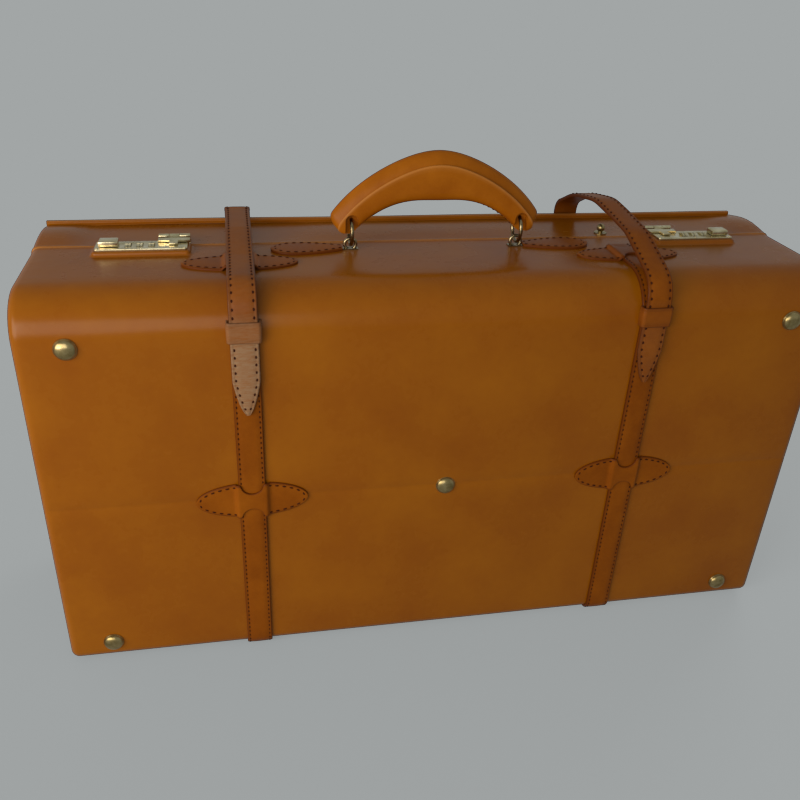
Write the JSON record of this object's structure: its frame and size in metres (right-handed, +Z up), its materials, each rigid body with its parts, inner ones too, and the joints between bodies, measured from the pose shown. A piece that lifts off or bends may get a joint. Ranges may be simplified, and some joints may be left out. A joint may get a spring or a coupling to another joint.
{
  "type": "leather suitcase",
  "caption": "Hand-sewn tan leather suitcase with a hinged lid, sewn arched handle, brass combination locks, brass foot studs and leather straps in keepers.",
  "frame": {"origin": "under the middle of the whole object, on the surface that it stands on", "axes": "+Z up, +X along the width, the studded front faces -Y"},
  "size_m": [0.75, 0.2198, 0.483],
  "materials": {
    "case_leather": "glazed tan bridle leather",
    "strap_leather": "sewn tan strap leather",
    "handle_leather": "sewn tan leather over a core",
    "board": "plain thin board",
    "lining": "woven lining cloth",
    "brass": "polished brass"
  },
  "bodies": {
    "case": {"case_cover": "case_leather", "tray_board": "board", "tray_lining": "lining", "tray_lip": "board", "front_studs": "brass", "stud_washers": "brass", "hinge_tray_leaves": "brass", "hinge_pins": "brass", "under_strap_left": "strap_leather", "front_loop_left": "strap_leather", "top_loop_left": "strap_leather", "strap_keeper_left": "strap_leather", "handle_chape_left": "strap_leather", "handle_eye_left": "brass", "lock_bed_left": "case_leather", "lock_case_left": "brass", "dial_spindle_left": "brass", "under_strap_right": "strap_leather", "front_loop_right": "strap_leather", "top_loop_right": "strap_leather", "strap_keeper_right": "strap_leather", "handle_chape_right": "strap_leather", "handle_eye_right": "brass", "lock_bed_right": "case_leather", "lock_case_right": "brass", "dial_spindle_right": "brass"},
    "lid": {"lid_cover": "case_leather", "lid_board": "board", "lid_lining": "lining", "lid_rim": "case_leather", "hinge_lid_leaves": "brass", "back_strap_left": "strap_leather", "back_loop_left": "strap_leather", "strap_stud_left": "brass", "lock_catch_left": "brass", "hasp_pin_left": "brass", "back_strap_right": "strap_leather", "back_loop_right": "strap_leather", "strap_stud_right": "brass", "lock_catch_right": "brass", "hasp_pin_right": "brass"},
    "handle": {"handle_grip": "handle_leather", "handle_ring_left": "brass", "handle_ring_right": "brass"},
    "strap_left": {"strap_tongue_left": "strap_leather"},
    "button_left": {"lock_button_left": "brass"},
    "hasp_left": {"lock_hasp_left": "brass"},
    "dial_left_1": {"lock_dial_left_1": "brass"},
    "dial_left_2": {"lock_dial_left_2": "brass"},
    "dial_left_3": {"lock_dial_left_3": "brass"},
    "strap_right": {"strap_tongue_right": "strap_leather"},
    "button_right": {"lock_button_right": "brass"},
    "hasp_right": {"lock_hasp_right": "brass"},
    "dial_right_1": {"lock_dial_right_1": "brass"},
    "dial_right_2": {"lock_dial_right_2": "brass"},
    "dial_right_3": {"lock_dial_right_3": "brass"}
  },
  "joints": [
    {"name": "lid_hinge", "type": "hinge", "parent": "case", "child": "lid", "pos_m": [0, 0.02665, 0.003], "axis": [-1, 0, 0], "range_deg": [0, 100]},
    {"name": "handle_swing", "type": "hinge", "parent": "case", "child": "handle", "pos_m": [0, 0.00665, 0.4112], "axis": [1, 0, 0], "range_deg": [-75, 75]},
    {"name": "strap_left_draw", "type": "slide", "parent": "case", "child": "strap_left", "axis": [0, 0, 1], "range_m": [0, 0.13]},
    {"name": "button_left_slide", "type": "slide", "parent": "case", "child": "button_left", "axis": [1, 0, 0], "range_m": [0, 0.005], "stiffness_N_per_m": 300},
    {"name": "hasp_left_lift", "type": "hinge", "parent": "lid", "child": "hasp_left", "pos_m": [-0.2465, 0.03265, 0.4004], "axis": [-1, 0, 0], "range_deg": [0, 110]},
    {"name": "dial_left_1_turn", "type": "hinge", "parent": "case", "child": "dial_left_1", "pos_m": [-0.287, 0.01215, 0.395], "axis": [1, 0, 0], "continuous": true},
    {"name": "dial_left_2_turn", "type": "hinge", "parent": "case", "child": "dial_left_2", "pos_m": [-0.2766, 0.01215, 0.395], "axis": [1, 0, 0], "continuous": true},
    {"name": "dial_left_3_turn", "type": "hinge", "parent": "case", "child": "dial_left_3", "pos_m": [-0.2662, 0.01215, 0.395], "axis": [1, 0, 0], "continuous": true},
    {"name": "strap_right_draw", "type": "slide", "parent": "case", "child": "strap_right", "axis": [0, 0, 1], "range_m": [0, 0.13]},
    {"name": "button_right_slide", "type": "slide", "parent": "case", "child": "button_right", "axis": [-1, 0, 0], "range_m": [0, 0.005], "stiffness_N_per_m": 300},
    {"name": "hasp_right_lift", "type": "hinge", "parent": "lid", "child": "hasp_right", "pos_m": [0.2465, 0.03265, 0.4004], "axis": [-1, 0, 0], "range_deg": [0, 110]},
    {"name": "dial_right_1_turn", "type": "hinge", "parent": "case", "child": "dial_right_1", "pos_m": [0.287, 0.01215, 0.395], "axis": [1, 0, 0], "continuous": true},
    {"name": "dial_right_2_turn", "type": "hinge", "parent": "case", "child": "dial_right_2", "pos_m": [0.2766, 0.01215, 0.395], "axis": [1, 0, 0], "continuous": true},
    {"name": "dial_right_3_turn", "type": "hinge", "parent": "case", "child": "dial_right_3", "pos_m": [0.2662, 0.01215, 0.395], "axis": [1, 0, 0], "continuous": true}
  ]
}
